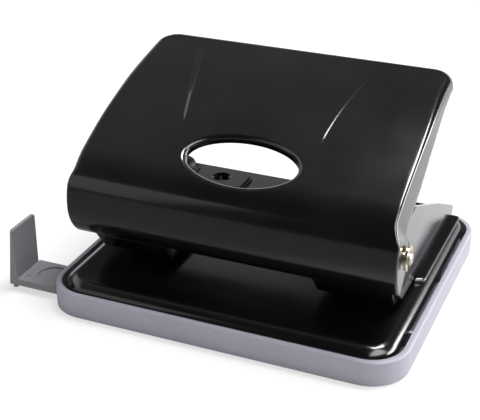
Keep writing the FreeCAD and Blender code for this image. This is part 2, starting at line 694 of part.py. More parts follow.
def build_clip(label, side):
    """E-clip: open ring with three inner lobes that grip the pin's groove."""
    body = new_body(label)
    y = value("PivotBack")
    z = value("PivotHeight")
    middle = "%d * (ClipInner + ClipThick / 2)" % side
    sketch = new_sketch(body, "YZ_Plane", middle)
    ring(sketch, "PivotBack", "PivotHeight", 4.1)
    ring(sketch, "PivotBack", "PivotHeight", 1.5)
    feature(body, "Pad", sketch, "ClipThick", both=True)
    sketch = new_sketch(body, "YZ_Plane", middle)
    outline(sketch, [(y - 1.3, z), (y - 1.6, z - 5), (y + 1.6, z - 5), (y + 1.3, z)])
    for turn in (150, 30):
        a = math.radians(turn)
        ring(sketch, y + 2.15 * math.cos(a), z + 2.15 * math.sin(a), 0.8)
    feature(body, "Pocket", sketch, 4.0, both=True)
    keep(label, body)


def build_spacer(label, side):
    """Washer on the pin between the frame's ear and the handle's flange."""
    low = "FrameHalf" if side > 0 else "-FrameHalf - SpacerThick"
    disc = cylinder(label + "_disc", 4.0, "SpacerThick",
                    (low, "PivotBack", "PivotHeight"), (1, 0, 0))
    hole = cylinder(label + "_hole", "PivotRadius", 6.0,
                    (low + " - 2", "PivotBack", "PivotHeight"), (1, 0, 0))
    keep(label, cut(label, disc, hole))


# ---- guide ------------------------------------------------------------------

def build_guide():
    """Sliding paper guide: flat bar with a round recess and an upright drafted fence."""
    body = new_body("paper_guide")
    sketch = new_sketch(body, "XY_Plane", "BarBottom")
    outline(sketch, box_steps("FenceFace", 20.0, "BarMiddle - BarWidth / 2",
                              "BarMiddle + BarWidth / 2"))
    feature(body, "Pad", sketch, "BarThick")
    # Fence: thick at the foot, thin at the top.
    sketch = new_sketch(body, "XZ_Plane", "-FenceMiddle")
    outline(sketch, [("FenceFace", "BarBottom"), ("FenceFace", "FenceTop"),
                     ("FenceFace - 1.3", "FenceTop"), ("FenceFace - 3.4", "BarBottom")])
    feature(body, "Pad", sketch, "FenceDepth", both=True)
    round_edges(body, 1.3, lambda b: b.ZMin > 23.7 and b.YLength < 0.01)
    round_edges(body, 0.4, lambda b: b.ZMin > 23.7 and b.XLength < 0.01)
    # Round recess and a small ejector mark on the bar, and a foot under the fence.
    sketch = new_sketch(body, "XY_Plane", "BarBottom + BarThick")
    ring(sketch, -68.4, "BarMiddle", 5.7)
    feature(body, "Pocket", sketch, 0.5)
    sketch = new_sketch(body, "XY_Plane", "BarBottom + BarThick")
    ring(sketch, -76.4, "BarMiddle - 4.3", 0.9)
    feature(body, "Pocket", sketch, 0.25)
    sketch = new_sketch(body, "XY_Plane", 0.5)
    ring(sketch, -80.4, "FenceMiddle - 6", 0.9)
    feature(body, "Pad", sketch, "BarBottom - 0.4")
    keep("paper_guide", body)


# ---- build, check and write -------------------------------------------------

build_chip_tray()
build_base_plate()
build_punch_frame()
build_stop_plate()
build_bump_stop()
shell = build_handle()
for name, side in (("left", -1), ("right", 1)):
    build_die("die_" + name, side)
    build_punch("punch_pin_" + name, side)
    build_spring("punch_spring_" + name, side)
    build_washer("spring_washer_" + name, side)
    build_bracket("press_bracket_" + name, side, shell)
    build_pivot_pin("pivot_pin_" + name, side)
    build_clip("e_clip_" + name, side)
    build_spacer("spacer_" + name, side)
build_guide()
doc.recompute()

for made in doc.Objects:
    if "Invalid" in made.State or "Error" in made.State:
        raise ValueError("failed object: " + made.Name)
os.makedirs("parts", exist_ok=True)
for label, made in nodes.items():
    shape = made.Shape
    if shape.isNull() or not shape.isValid() or not shape.Solids:
        raise ValueError("bad shape: " + label)
    shape.exportStep("parts/" + label + ".step")
    box = shape.BoundBox
    print("%-20s solids %d volume %9.1f  X %7.2f %7.2f  Y %7.2f %7.2f  Z %6.2f %6.2f" % (
        label, len(shape.Solids), shape.Volume, box.XMin, box.XMax, box.YMin, box.YMax,
        box.ZMin, box.ZMax))
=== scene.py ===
# %% [markdown]
# # A two-hole desk paper punch
#
# The object is a small office tool. A black enamelled steel pan sits in a grey plastic
# tray that catches the chips. A bent steel frame stands on the pan and carries two
# punches, and a wide pressed lever turns on two pins at its front. A plastic paper guide
# slides out of the tray on the left.
#
# The measured model of every part is loaded as a fixed frame. Parts whose solid is
# already right get a finish here. The lever and the pan are thin pressed sheets whose
# edges roll over softly, so they are built again as meshes where their solids stand.

# %% Load the frame
import math

import bmesh
import bpy
from mathutils import Matrix, Vector


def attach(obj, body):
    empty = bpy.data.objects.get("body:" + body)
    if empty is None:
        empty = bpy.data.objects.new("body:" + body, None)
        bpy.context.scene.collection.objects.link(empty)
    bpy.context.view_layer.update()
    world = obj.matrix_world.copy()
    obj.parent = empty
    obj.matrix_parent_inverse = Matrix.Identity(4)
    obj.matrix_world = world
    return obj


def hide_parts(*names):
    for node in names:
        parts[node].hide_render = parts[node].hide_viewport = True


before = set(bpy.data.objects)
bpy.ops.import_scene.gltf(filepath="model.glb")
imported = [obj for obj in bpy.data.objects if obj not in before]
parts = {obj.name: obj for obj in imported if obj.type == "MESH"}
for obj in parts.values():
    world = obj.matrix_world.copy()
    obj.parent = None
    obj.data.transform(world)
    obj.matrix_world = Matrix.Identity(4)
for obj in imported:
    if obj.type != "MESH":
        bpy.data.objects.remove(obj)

MM = 0.001
scene = bpy.context.scene
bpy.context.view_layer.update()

# %% [markdown]
# ## The camera
#
# The camera stands a little above the punch and to its right, with a long lens, so that
# the front and the right side both show. It could be aimed at a target instead. It is set
# from where it stands and the three angles it is turned by, because those can be measured
# one by one.

# %% The camera
CAMERA_PLACE = Vector((0.1324, -0.3451, 0.2123))
TURN, DIP, ROLL = (math.radians(a) for a in (22.829, 26.843, 0.1355))
FOCAL, SENSOR = 86.8, 36.0
MIDDLE = Vector((0.0, 0.0, 0.03))

back = Vector((math.sin(TURN) * math.cos(DIP),
               -math.cos(TURN) * math.cos(DIP), math.sin(DIP)))
level = Vector((math.cos(TURN), math.sin(TURN), 0.0))
upward = back.cross(level)
right = level * math.cos(ROLL) + upward * math.sin(ROLL)
up = upward * math.cos(ROLL) - level * math.sin(ROLL)
turned = Matrix((right, up, back)).transposed().to_4x4()

lens = bpy.data.cameras.new("product_camera")
lens.lens, lens.sensor_width = FOCAL, SENSOR
lens.clip_start, lens.clip_end = 0.01, 50.0
camera = bpy.data.objects.new("product_camera", lens)
camera.matrix_world = Matrix.Translation(CAMERA_PLACE) @ turned
scene.collection.objects.link(camera)
scene.camera = camera
scene.view_settings.view_transform = "Standard"
print("camera", round((CAMERA_PLACE - MIDDLE).length, 3), "m away")

# %% [markdown]
# ## Two small tools for finishes
#
# Paint and plastic colours are written as the hex values that a colour chart gives. Those
# are display values, so one function turns them into the linear light that the renderer
# works in. The other function adds a node, sets its values and joins its inputs, which
# keeps every finish below readable as a list of what it is made of.

# %% Colour and node helpers
def tint(code):
    """Linear colour of a six-figure hex value, with full alpha."""
    shares = [int(code[i:i + 2], 16) / 255 for i in (0, 2, 4)]
    linear = [s / 12.92 if s <= 0.04045 else ((s + 0.055) / 1.055) ** 2.4 for s in shares]
    return linear + [1.0]


def add(tree, kind, settings=None, inputs=None):
    """A new node; an input is a value, or (node, output name) to join it to."""
    node = tree.nodes.new(kind)
    for name, setting in (settings or {}).items():
        setattr(node, name, setting)
    for name, given in (inputs or {}).items():
        if isinstance(given, tuple) and isinstance(given[0], bpy.types.Node):
            tree.links.new(given[0].outputs[given[1]], node.inputs[name])
        else:
            node.inputs[name].default_value = given
    return node


def new_finish(name):
    """An empty material, its tree and its object coordinates."""
    material = bpy.data.materials.new(name)
    material.use_nodes = True
    tree = material.node_tree
    tree.nodes.clear()
    return material, tree, add(tree, "ShaderNodeTexCoord")


def close_finish(tree, shader):
    """Joins the shader to the material's output."""
    add(tree, "ShaderNodeOutputMaterial", inputs={"Surface": (shader, 0)})


print("white", [round(c, 3) for c in tint("ffffff")])

# %% [markdown]
# ## Black stove enamel
#
# The pan, the frame and the lever are pressed steel, sprayed and baked black. Baked enamel
# is a hard gloss film: nearly no colour of its own, a sharp reflection over a softer one,
# and a faint waviness called orange peel, a millimetre or so across. The base layer is a
# very dark neutral grey, the film is a clear coat, and the waviness is a low bump. Dust
# and handling make the gloss a little uneven, which a second, wider noise gives.

# %% Black stove enamel
ORANGE_PEEL = 1.4 * MM
HANDLING = 22 * MM


def stove_enamel():
    """Gloss black: a dark base under a clear coat, both rippled by orange peel."""
    material, tree, where = new_finish("black_stove_enamel")
    peel = add(tree, "ShaderNodeTexNoise", inputs={
        "Vector": (where, "Object"), "Scale": 1 / ORANGE_PEEL, "Detail": 2.0})
    wave = add(tree, "ShaderNodeBump", inputs={
        "Height": (peel, 0), "Strength": 0.06, "Distance": 0.05 * MM})
    handled = add(tree, "ShaderNodeTexNoise", inputs={
        "Vector": (where, "Object"), "Scale": 1 / HANDLING, "Detail": 4.0})
    uneven = add(tree, "ShaderNodeMapRange", inputs={
        "Value": (handled, 0), "From Min": 0.3, "From Max": 0.7,
        "To Min": 0.17, "To Max": 0.25})
    shader = add(tree, "ShaderNodeBsdfPrincipled", inputs={
        "Base Color": tint("0b0b0c"), "Roughness": (uneven, 0), "IOR": 1.5,
        "Coat Weight": 0.8, "Coat Roughness": 0.10, "Coat IOR": 1.5,
        "Normal": (wave, 0), "Coat Normal": (wave, 0)})
    close_finish(tree, shader)
    return material


enamel = stove_enamel()
print("made", enamel.name)

# %% [markdown]
# ## Moulded plastics
#
# The tray is moulded polystyrene in a cool grey, and the guide the same in a warmer, darker
# grey. A moulding takes the fine spark-eroded grain of its mould, which scatters light and
# leaves a satin face. One function makes both: the grain is a fine bump, a coarser noise
# varies the gloss, and the colour drifts slightly, as flow in the mould makes it.

# %% Moulded plastics
# Real spark grain is about 0.1 mm across. It is drawn coarser, so that it shows.
SPARK_GRAIN = 0.35 * MM
FLOW = 30 * MM


def moulded_plastic(name, colour, paler, roughness):
    """Satin plastic whose grain, gloss and colour vary a little."""
    material, tree, where = new_finish(name)
    grain = add(tree, "ShaderNodeTexNoise", inputs={
        "Vector": (where, "Object"), "Scale": 1 / SPARK_GRAIN, "Detail": 3.0})
    pitted = add(tree, "ShaderNodeBump", inputs={
        "Height": (grain, 0), "Strength": 0.12, "Distance": 0.03 * MM})
    flow = add(tree, "ShaderNodeTexNoise", inputs={
        "Vector": (where, "Object"), "Scale": 1 / FLOW, "Detail": 3.0})
    drift = add(tree, "ShaderNodeMix", {"data_type": "RGBA"}, {
        "Factor": (flow, 0), "A": tint(colour), "B": tint(paler)})
    gloss = add(tree, "ShaderNodeMapRange", inputs={
        "Value": (grain, 0), "To Min": roughness - 0.05, "To Max": roughness + 0.07})
    shader = add(tree, "ShaderNodeBsdfPrincipled", inputs={
        "Base Color": (drift, "Result"), "Roughness": (gloss, 0), "IOR": 1.53,
        "Normal": (pitted, 0)})
    close_finish(tree, shader)
    return material


tray_grey = moulded_plastic("moulded_polystyrene_cool_grey", "9896a2", "9f9da9", 0.42)
guide_grey = moulded_plastic("moulded_polystyrene_warm_grey", "77757a", "7d7b7f", 0.40)
print("made", tray_grey.name, "and", guide_grey.name)

# %% [markdown]
# ## Bright metals
#
# The punches are ground steel, whose fine rings from the grinding wheel draw the
# highlight out round the shaft. The pins, spacers and spring seats are zinc plated, and
# the clips are zinc plate with a yellow passivation, which looks like pale brass. All
# three are full metals with their default index; the rings or the plate's slight
# mottling come from noise stretched along or across the part.

# %% Bright metals
# Real grinding lines lie some hundredths of a millimetre apart. They are drawn coarser,
# so that they show.
GRINDING = 0.3 * MM
MOTTLE = 2.5 * MM


def bright_metal(name, colour, darker, roughness, pattern, stretch):
    """Full metal with fine marks of the given size, stretched along the given axes."""
    material, tree, where = new_finish(name)
    along = add(tree, "ShaderNodeMapping", inputs={
        "Vector": (where, "Object"), "Scale": stretch})
    marks = add(tree, "ShaderNodeTexNoise", inputs={
        "Vector": (along, 0), "Scale": 1 / pattern, "Detail": 3.0})
    cut = add(tree, "ShaderNodeBump", inputs={
        "Height": (marks, 0), "Strength": 0.15, "Distance": 0.02 * MM})
    shade = add(tree, "ShaderNodeMix", {"data_type": "RGBA"}, {
        "Factor": (marks, 0), "A": tint(darker), "B": tint(colour)})
    gloss = add(tree, "ShaderNodeMapRange", inputs={
        "Value": (marks, 0), "To Min": roughness - 0.06, "To Max": roughness + 0.08})
    shader = add(tree, "ShaderNodeBsdfPrincipled", inputs={
        "Base Color": (shade, "Result"), "Metallic": 1.0, "Roughness": (gloss, 0),
        "Normal": (cut, 0)})
    close_finish(tree, shader)
    return material


ground_steel = bright_metal("ground_tool_steel", "c8c8ca", "9c9ca0", 0.28, GRINDING,
                            (0.05, 0.05, 1.0))
zinc_plate = bright_metal("zinc_plate", "d2d3d0", "b4b6b6", 0.30, MOTTLE, (1, 1, 1))
yellow_zinc = bright_metal("yellow_passivated_zinc", "f2ead6", "c2aa80", 0.24, MOTTLE,
                           (1, 1, 1))
print("made", ground_steel.name, zinc_plate.name, yellow_zinc.name)

# %% [markdown]
# ## Rubber
#
# The buffer on the top plate is moulded rubber: black, with no gloss, and lightened a
# little towards its edge by a dusty bloom. A rough dielectric with a soft sheen gives that.

# %% Rubber
BLOOM = 0.6 * MM


def buffer_rubber():
    """Dull black with a faint dusty bloom."""
    material, tree, where = new_finish("moulded_rubber")
    bloom = add(tree, "ShaderNodeTexNoise", inputs={
        "Vector": (where, "Object"), "Scale": 1 / BLOOM, "Detail": 4.0})
    shade = add(tree, "ShaderNodeMix", {"data_type": "RGBA"}, {
        "Factor": (bloom, 0), "A": tint("0c0c0c"), "B": tint("181717")})
    rough = add(tree, "ShaderNodeBump", inputs={
        "Height": (bloom, 0), "Strength": 0.2, "Distance": 0.04 * MM})
    shader = add(tree, "ShaderNodeBsdfPrincipled", inputs={
        "Base Color": (shade, "Result"), "Roughness": 0.55, "Sheen Weight": 0.03,
        "Normal": (rough, 0)})
    close_finish(tree, shader)
    return material


rubber = buffer_rubber()
print("made", rubber.name)

# %% [markdown]
# ## Finishes on the measured parts
#
# Each part is named for what it is, and those in pairs end in left or right. Without that
# end the name gives the finish. The solids are left exactly as they are.

# %% Dress the measured parts
FINISH_OF = {
    "chip_tray": tray_grey, "paper_guide": guide_grey, "base_plate": enamel,
    "punch_frame": enamel, "stop_plate": enamel, "handle_shell": enamel,
    "press_bracket": enamel, "bump_stop": rubber, "die": ground_steel,
    "punch_pin": ground_steel, "punch_spring": ground_steel, "spring_washer": zinc_plate,
    "pivot_pin": zinc_plate, "spacer": zinc_plate, "e_clip": yellow_zinc,
}
for name, part in parts.items():
    kind = name.replace("_left", "").replace("_right", "")
    part.data.materials.clear()
    part.data.materials.append(FINISH_OF[kind])
print("dressed", len(parts), "parts")

# %% [markdown]
# ## The lever, outline first
#
# The lever is pressed from one sheet. Seen from the side its face is four arcs: the lip
# curls under, rises past the pivots, rolls over the shoulder, and runs back nearly flat to
# the far edge. The same arcs drive the solid. Here they are walked by length, so that a
# place on the sheet is simply how far across it lies and how far along.

# %% The lever's side outline
# Each arc: centre (y, z), radius, first angle, last angle.
FACE_ARCS = [((-29.2, 36.2), 15.1, 233.9, 180.0), ((-20.1, 36.2), 24.2, 180.0, 154.8),
             ((-22.08, 32.61), 24.28, 145.1, 116.7), ((60.12, -120.11), 197.71, 118.1, 97.0)]


def arcs_length(arcs):
    """Length of the given arcs together, in mm."""
    return sum(radius * math.radians(first - last) for _, radius, first, last in arcs)


def on_face(along):
    """(y, z) on the side outline and the outward direction (y, z), by length in mm."""
    rest = along
    for (y, z), radius, first, last in FACE_ARCS:
        length = radius * math.radians(first - last)
        if rest <= length or last == FACE_ARCS[-1][3]:
            angle = math.radians(first) - rest / radius
            return (y + radius * math.cos(angle), z + radius * math.sin(angle),
                    math.cos(angle), math.sin(angle))
        rest -= length


def length_at(y):
    """Length along the outline where the long back arc reaches y."""
    (middle, _), radius, first, _ = FACE_ARCS[-1]
    before = arcs_length(FACE_ARCS[:-1])
    return before + radius * (math.radians(first) - math.acos((y - middle) / radius))


print("sheet is", round(arcs_length(FACE_ARCS), 1), "mm from lip to the last arc's end")

# %% [markdown]
# ## The lever's edge, seen from above
#
# From above the lever is a wide U with round back corners. Low down its sides stand far
# enough apart to clear the spacers on the pivots; just above them both sides step in, and
# the cheeks above the step splay a little, as a pressing needs to leave its die. That step
# leaves a bright flick of light on each side. Each station on the edge knows its place,
# its outward direction and how far along the sheet it lies.

# %% The lever's edge
LUG_HALF, CHEEK_HALF, BACK_EDGE, CORNER = 58.05, 56.25, 33.1, 8.0
STEP_FROM, STEP_TO = 21.0, 29.5
TURN_AT = BACK_EDGE - CORNER
ROW_STEP = 1.0
CORNER_STEPS = 18


def blend(low, high, value):
    """Smooth share from 0 at low to 1 at high."""
    share = min(max((value - low) / (high - low), 0.0), 1.0)
    return share * share * (3 - 2 * share)


def stepped_in(along):
    """Share of the step between the lugs (0) and the cheeks (1)."""
    return blend(STEP_FROM, STEP_TO, along)


def edge_stations():
    """Right-hand stations: x, y, outward (x, y), length along, from lip to back."""
    stations = []
    side_length = length_at(TURN_AT)
    count = int(side_length / ROW_STEP)
    for k in range(count + 1):
        along = side_length * k / count
        x = LUG_HALF + (CHEEK_HALF - LUG_HALF) * stepped_in(along)
        stations.append((x, on_face(along)[0], 1.0, 0.0, along))
    for k in range(1, CORNER_STEPS + 1):
        angle = math.pi / 2 * k / CORNER_STEPS
        x = CHEEK_HALF - CORNER * (1 - math.cos(angle))
        y = TURN_AT + CORNER * math.sin(angle)
        stations.append((x, y, math.cos(angle), math.sin(angle), length_at(y)))
    return stations


stations = edge_stations()
print(len(stations), "stations on", round(length_at(BACK_EDGE), 1), "mm of sheet")

# %% [markdown]
# ## The edge's roll and place
#
# A sheet can't be folded sharp. The press leaves a radius of about its own thickness low
# down, and a softer one at the back, where the hand rests. The sheet also sits a few
# tenths of a millimetre to the left, and more so at the back. A single radius would be
# simpler, but the light along the edge would then be as wide at the back as at the lip.

# %% The edge's roll and place
LIP_ROLL, CHEEK_ROLL, SHOULDER_ROLL, BACK_ROLL = 0.9, 0.3, 0.5, 1.5
SHOULDER_SPAN, BACK_SPAN = (50.0, 70.0), (66.0, 94.0)
LUG_ASIDE, CHEEK_ASIDE, BACK_ASIDE = -0.3, -0.35, -0.5
ASIDE_SPAN = (60.0, 95.0)


def roll_radius(along):
    """Radius of the folded edge: tight at the lip, softer above, softest at the back."""
    soft = SHOULDER_ROLL * blend(*SHOULDER_SPAN, along) + BACK_ROLL * blend(*BACK_SPAN, along)
    return LIP_ROLL + CHEEK_ROLL * stepped_in(along) + soft


def moved_aside(along):
    """How far the sheet stands to the right of the middle; a minus is to the left."""
    aside = LUG_ASIDE + CHEEK_ASIDE * stepped_in(along)
    return aside + BACK_ASIDE * blend(*ASIDE_SPAN, along)


for along in (0.0, STEP_TO, length_at(BACK_EDGE)):
    print("at", round(along, 1), "mm: roll", round(roll_radius(along), 2),
          "mm, aside", round(moved_aside(along), 2), "mm")

# %% [markdown]
# ## What is pressed into the sheet
#
# Two swage lines fan out from beside the finger opening to the back edge, and stiffen the
# sheet. The panel between them stands a little proud. Each line is a low smooth step whose
# height fades out at both ends. A bump in the material could draw it, but a step in the
# mesh catches the light as the real one does from every side.

# %% Swage lines and relief
LEFT_RISE, RIGHT_RISE = 0.26, 0.12
STEP_HALF = 0.4
# Both lines fade in above the opening and out before the back edge.
FADE_IN, FADE_OUT = (52.0, 60.0), (90.0, 103.0)
# The right line weakens on its way back, and the left one parts into two.
WEAKENING, WEAKENING_SPAN = 0.4, (60.0, 90.0)
PARTING, PARTING_SPAN = 0.7, (62.0, 76.0)
# Each line: (across, along) points from beside the opening to the back.
LEFT_SWAGE = [(-24.0, 47.0), (-30.2, 72.0), (-37.4, 101.0)]
RIGHT_SWAGE = [(23.3, 47.0), (24.6, 69.0), (31.4, 99.0)]


def through(points, along):
    """Across value of the parabola through three (across, along) points."""
    total = 0.0
    for i, (x, s) in enumerate(points):
        share = 1.0
        for j, (_, other) in enumerate(points):
            if i != j:
                share *= (along - other) / (s - other)
        total += x * share
    return total


def relief(across, along):
    """Height of the pressed panel above the plain sheet."""
    fade = blend(*FADE_IN, along) * (1 - blend(*FADE_OUT, along))
    right_rise = RIGHT_RISE * (1 - WEAKENING * blend(*WEAKENING_SPAN, along))
    from_left = across - through(LEFT_SWAGE, along)
    from_right = through(RIGHT_SWAGE, along) - across
    apart = PARTING * blend(*PARTING_SPAN, along)
    left_edge = sum(blend(side * apart - STEP_HALF, side * apart + STEP_HALF, from_left)
                    for side in (-1, 1)) / 2
    right_edge = blend(-STEP_HALF, STEP_HALF, from_right)
    # The panel's height falls from the left line to the lower right one.
    share = blend(0.0, from_left + from_right, from_left)
    height = LEFT_RISE + (right_rise - LEFT_RISE) * share
    return fade * height * left_edge * right_edge


print("panel stands", round(relief(0, 75), 2), "mm proud")

# %% [markdown]
# ## A place on the sheet
#
# The first two arcs meet the third at a fold above the lip. A press tool has no knife
# edge there, so the fold is eased over a few millimetres. With that, one function turns
# across and along into a point and the direction that the face looks in.

# %% A place on the sheet
FOLD_AT = arcs_length(FACE_ARCS[:2])
FOLD_BLEND, FOLD_DEPTH = 2.5, 0.11


def sheet_point(across, along):
    """Place (mm) on the pressed face and its outward direction."""
    y, z, ny, nz = on_face(along)
    ease = max(1 - abs(along - FOLD_AT) / FOLD_BLEND, 0.0)
    height = relief(across, along) - FOLD_DEPTH * ease * ease
    return Vector((across, y + ny * height, z + nz * height)), Vector((0, ny, nz))


print("fold lies", round(FOLD_AT, 1), "mm along, at height",
      round(sheet_point(0.0, FOLD_AT)[0].z, 1), "mm")

# %% [markdown]
# ## Flanges and rolled edges
#
# The mesh is rows across the lever. A row starts at the foot of the left flange, climbs
# it, goes round the rolled edge, crosses the face and comes down the other side. The
# flange ends on its back line, which is where the solid's flange ends: a lug round the
# pivot, then a narrowing strip up to the back edge.

# %% Flanges and rolled edges
ROLL_STEPS, FLANGE_STEPS = 9, 6
LEAST_FLANGE = 0.3
SPLAY = 0.11
# Between these two y the flange turns from square to the face to straight down.
HANG_FROM, HANG_TO = 8.0, 20.0
# A ray may miss the end of a piece of the line by this share of the piece's length.
LINE_SLACK = 0.02
FLANGE_LINE = [(-38.1, 24.0), (-34.6, 28.0), (-32.7, 32.8), (-31.6, 37.6), (-30.6, 43.6),
               (-27.4, 45.9), (-22.5, 48.4), (-15.0, 52.4), (-6.0, 57.9), (3.0, 62.2),
               (14.0, 66.9), (24.0, 70.2), (36.0, 71.0)]


def flange_depth(start, way):
    """How far from start (y, z) along way the flange's back line is met."""
    reaches = []
    for (y0, z0), (y1, z1) in zip(FLANGE_LINE, FLANGE_LINE[1:]):
        ey, ez = y1 - y0, z1 - z0
        cross = way[0] * ez - way[1] * ey
        if abs(cross) < 1e-9:
            continue
        reach = ((y0 - start[0]) * ez - (z0 - start[1]) * ey) / cross
        share = ((y0 - start[0]) * way[1] - (z0 - start[1]) * way[0]) / cross
        if -LINE_SLACK <= share <= 1 + LINE_SLACK and reach > 0:
            reaches.append(reach)
    return min(reaches, default=LEAST_FLANGE)


def rolled_edge(x, y, hx, hy, along):
    """Points round the folded edge of one station, from the face to the flange."""
    _, z, ny, nz = on_face(along)
    corner, n, h = Vector((x, y, z)), Vector((0, ny, nz)), Vector((hx, hy, 0))
    radius = roll_radius(along)
    centre = corner - radius * (n + h) / (1 + n.dot(h))
    bend = n.angle(h)
    rolled = []
    for k in range(ROLL_STEPS + 1):
        spin = bend * k / ROLL_STEPS
        outward = n * (math.sin(bend - spin) / math.sin(bend))
        outward = outward + h * (math.sin(spin) / math.sin(bend))
        rolled.append(centre + radius * outward)
    return rolled


def edge_rows(x, y, hx, hy, along):
    """One station's points, round the rolled edge and down the flange."""
    points = rolled_edge(x, y, hx, hy, along)
    foot = points[-1]
    _, _, ny, nz = on_face(along)
    hang = blend(HANG_FROM, HANG_TO, y)
    way = Vector((0, -ny, -nz)).lerp(Vector((0, 0, -1)), hang).normalized()
    deep = flange_depth((foot.y, foot.z), (way.y, way.z))
    way = way + Vector((hx, hy, 0)) * SPLAY * stepped_in(along)
    for k in range(1, FLANGE_STEPS + 1):
        points.append(foot + way * deep * k / FLANGE_STEPS)
    return points


edges = [edge_rows(*station) for station in stations]
depths = [(edge[-1] - edge[ROLL_STEPS]).length for edge in edges]
print("flange is", round(min(depths), 1), "to", round(max(depths), 1), "mm deep")

# %% [markdown]
# ## Columns of a row
#
# The face is a grid between the two rolled edges. Rows below and round the opening have
# even columns. Above it the columns fan out with the two swage lines, and those near a
# line are drawn towards it, so that the low step gets a fine mesh where it needs one.

# %% Columns of a row
OPEN_X, OPEN_S, OPEN_Y = 19.6, 9.9, -28.7
OPEN_AT = length_at(OPEN_Y)
RIM_ROLL, RIM_DEEP = 1.7, 2.9
PATCH = 27.0
PATCH_TOP = OPEN_AT + OPEN_S + RIM_ROLL + 0.8
INNER_COLUMNS, OUTER_COLUMNS = 80, 26
GATHER, FAN_OVER = 5.0, 2.5


def gathered(across, line):
    """Moves a column towards a swage line."""
    away = (across - line) / GATHER
    return line + GATHER * away * abs(away) if abs(away) < 1 else across


def fanned(across, edge_x, along):
    """Moves a column with the two lines, which spread apart towards the back."""
    knots = [(-edge_x, -edge_x), (through(LEFT_SWAGE, PATCH_TOP), through(LEFT_SWAGE, along)),
             (through(RIGHT_SWAGE, PATCH_TOP), through(RIGHT_SWAGE, along)), (edge_x, edge_x)]
    for (a, b), (c, d) in zip(knots, knots[1:]):
        if across <= c:
            return b + (d - b) * (across - a) / (c - a)
    return across


def row_across(edge_x, along):
    """Across values of one row: even below and round the opening, fanned above it."""
    inner = [-PATCH + 2 * PATCH * k / INNER_COLUMNS for k in range(INNER_COLUMNS + 1)]
    outer = [PATCH + (edge_x - PATCH) * k / OUTER_COLUMNS for k in range(1, OUTER_COLUMNS)]
    even = [-x for x in reversed(outer)] + inner + outer
    if along <= PATCH_TOP:
        return even
    share = blend(PATCH_TOP, PATCH_TOP + FAN_OVER, along)
    row = []
    for across in even:
        fine = across
        for line in (LEFT_SWAGE, RIGHT_SWAGE):
            fine = gathered(fine, through(line, PATCH_TOP))
        row.append(fanned(across + (fine - across) * share, edge_x, along))
    return row


print(len(row_across(CHEEK_HALF, OPEN_AT)), "columns between the rolled edges")

# %% [markdown]
# ## A sheet as rows of points
#
# Blender makes a mesh from a list of points and a list of faces that name them by number.
# A small class keeps both lists and joins two rows of numbers with a strip of quads, which
# is all that a pressed sheet needs. A quad mesh also shades more evenly than triangles.

# %% A sheet as rows of points
class Sheet:
    """Vertices and faces of a mesh in millimetres."""

    def __init__(self):
        self.points = []
        self.faces = []

    def point(self, place, along):
        """A new point, moved aside as the sheet is there; gives its number."""
        self.points.append(place + Vector((moved_aside(along), 0, 0)))
        return len(self.points) - 1

    def strip(self, one, other, closed=False):
        """Quads between two equal rows of vertex numbers."""
        last = len(one) if closed else len(one) - 1
        for k in range(last):
            nxt = (k + 1) % len(one)
            self.faces.append((one[k], one[nxt], other[nxt], other[k]))


def mirrored(place):
    """The same place on the left."""
    return Vector((-place.x, place.y, place.z))


trial = Sheet()
trial.strip([0, 1, 2], [3, 4, 5])
print("two rows of three points make", len(trial.faces), "quads")

# %% [markdown]
# ## Rows of the lever
#
# Every station gives one row. Beside the numbers of its points a row keeps where its face
# points lie on the sheet, because the opening is cut by those places.

# %% Rows of the lever
def lever_rows(mesh):
    """All rows from lip to back: vertex numbers, and (across, along) or None for each."""
    rows, places = [], []
    for (_, y, _, _, along), edge in zip(stations, edges):
        if y > TURN_AT:
            along = length_at(edge[0].y)
        across = row_across(edge[0].x, along)
        left_side = [mesh.point(mirrored(p), along) for p in reversed(edge)]
        right_side = [mesh.point(p, along) for p in edge]
        face = [mesh.point(sheet_point(x, along)[0], along) for x in across]
        rows.append(left_side + face + right_side)
        places.append([None] * len(left_side) + [(x, along) for x in across]
                      + [None] * len(right_side))
    return rows, places


lever_sheet = Sheet()
rows, places = lever_rows(lever_sheet)
print(len(rows), "rows of", len(rows[0]), "points")

# %% [markdown]
# ## The opening
#
# Round the opening the grid is left out in a square, and rings take its place that change
# step by step from the square to the oval, so that the rim gets an even mesh. The last
# rings turn inwards and down and form the rolled rim. Cutting the oval out with a boolean
# would be quicker, but it leaves thin triangles that spoil the reflection round the rim.

# %% The opening
RIM_X, RIM_S = OPEN_X + RIM_ROLL, OPEN_S + RIM_ROLL
SQUARE_RINGS, RIM_RINGS = 5, 6


def turn_of(across, along):
    """Angle round the oval at which a place on the square's border looks at it."""
    return math.atan2((along - OPEN_AT) / OPEN_S, across / OPEN_X)


def oval_ring(mesh, square, share):
    """One ring of points between the square hole (share 0) and the oval's rim (1)."""
    ring = []
    for across, along in square:
        turn = turn_of(across, along)
        x = across + (RIM_X * math.cos(turn) - across) * share
        s = along + (OPEN_AT + RIM_S * math.sin(turn) - along) * share
        ring.append(mesh.point(sheet_point(x, s)[0], s))
    return ring


def rim_ring(mesh, square, spin, drop):
    """One ring of the rolled rim: spin runs from 0 to a quarter turn, then it drops."""
    ring = []
    for across, along in square:
        turn = turn_of(across, along)
        x = RIM_X * math.cos(turn)
        s = OPEN_AT + RIM_S * math.sin(turn)
        gx, gs = math.cos(turn) / RIM_X, math.sin(turn) / RIM_S
        place, n = sheet_point(x, s)
        tangent = Vector((0, n.z, -n.y))
        inward = (Vector((-gx, 0, 0)) - tangent * gs) / math.hypot(gx, gs)
        sunk = RIM_ROLL * (1 - math.cos(spin)) + drop
        place = place + inward * RIM_ROLL * math.sin(spin) - n * sunk
        ring.append(mesh.point(place, s))
    return ring


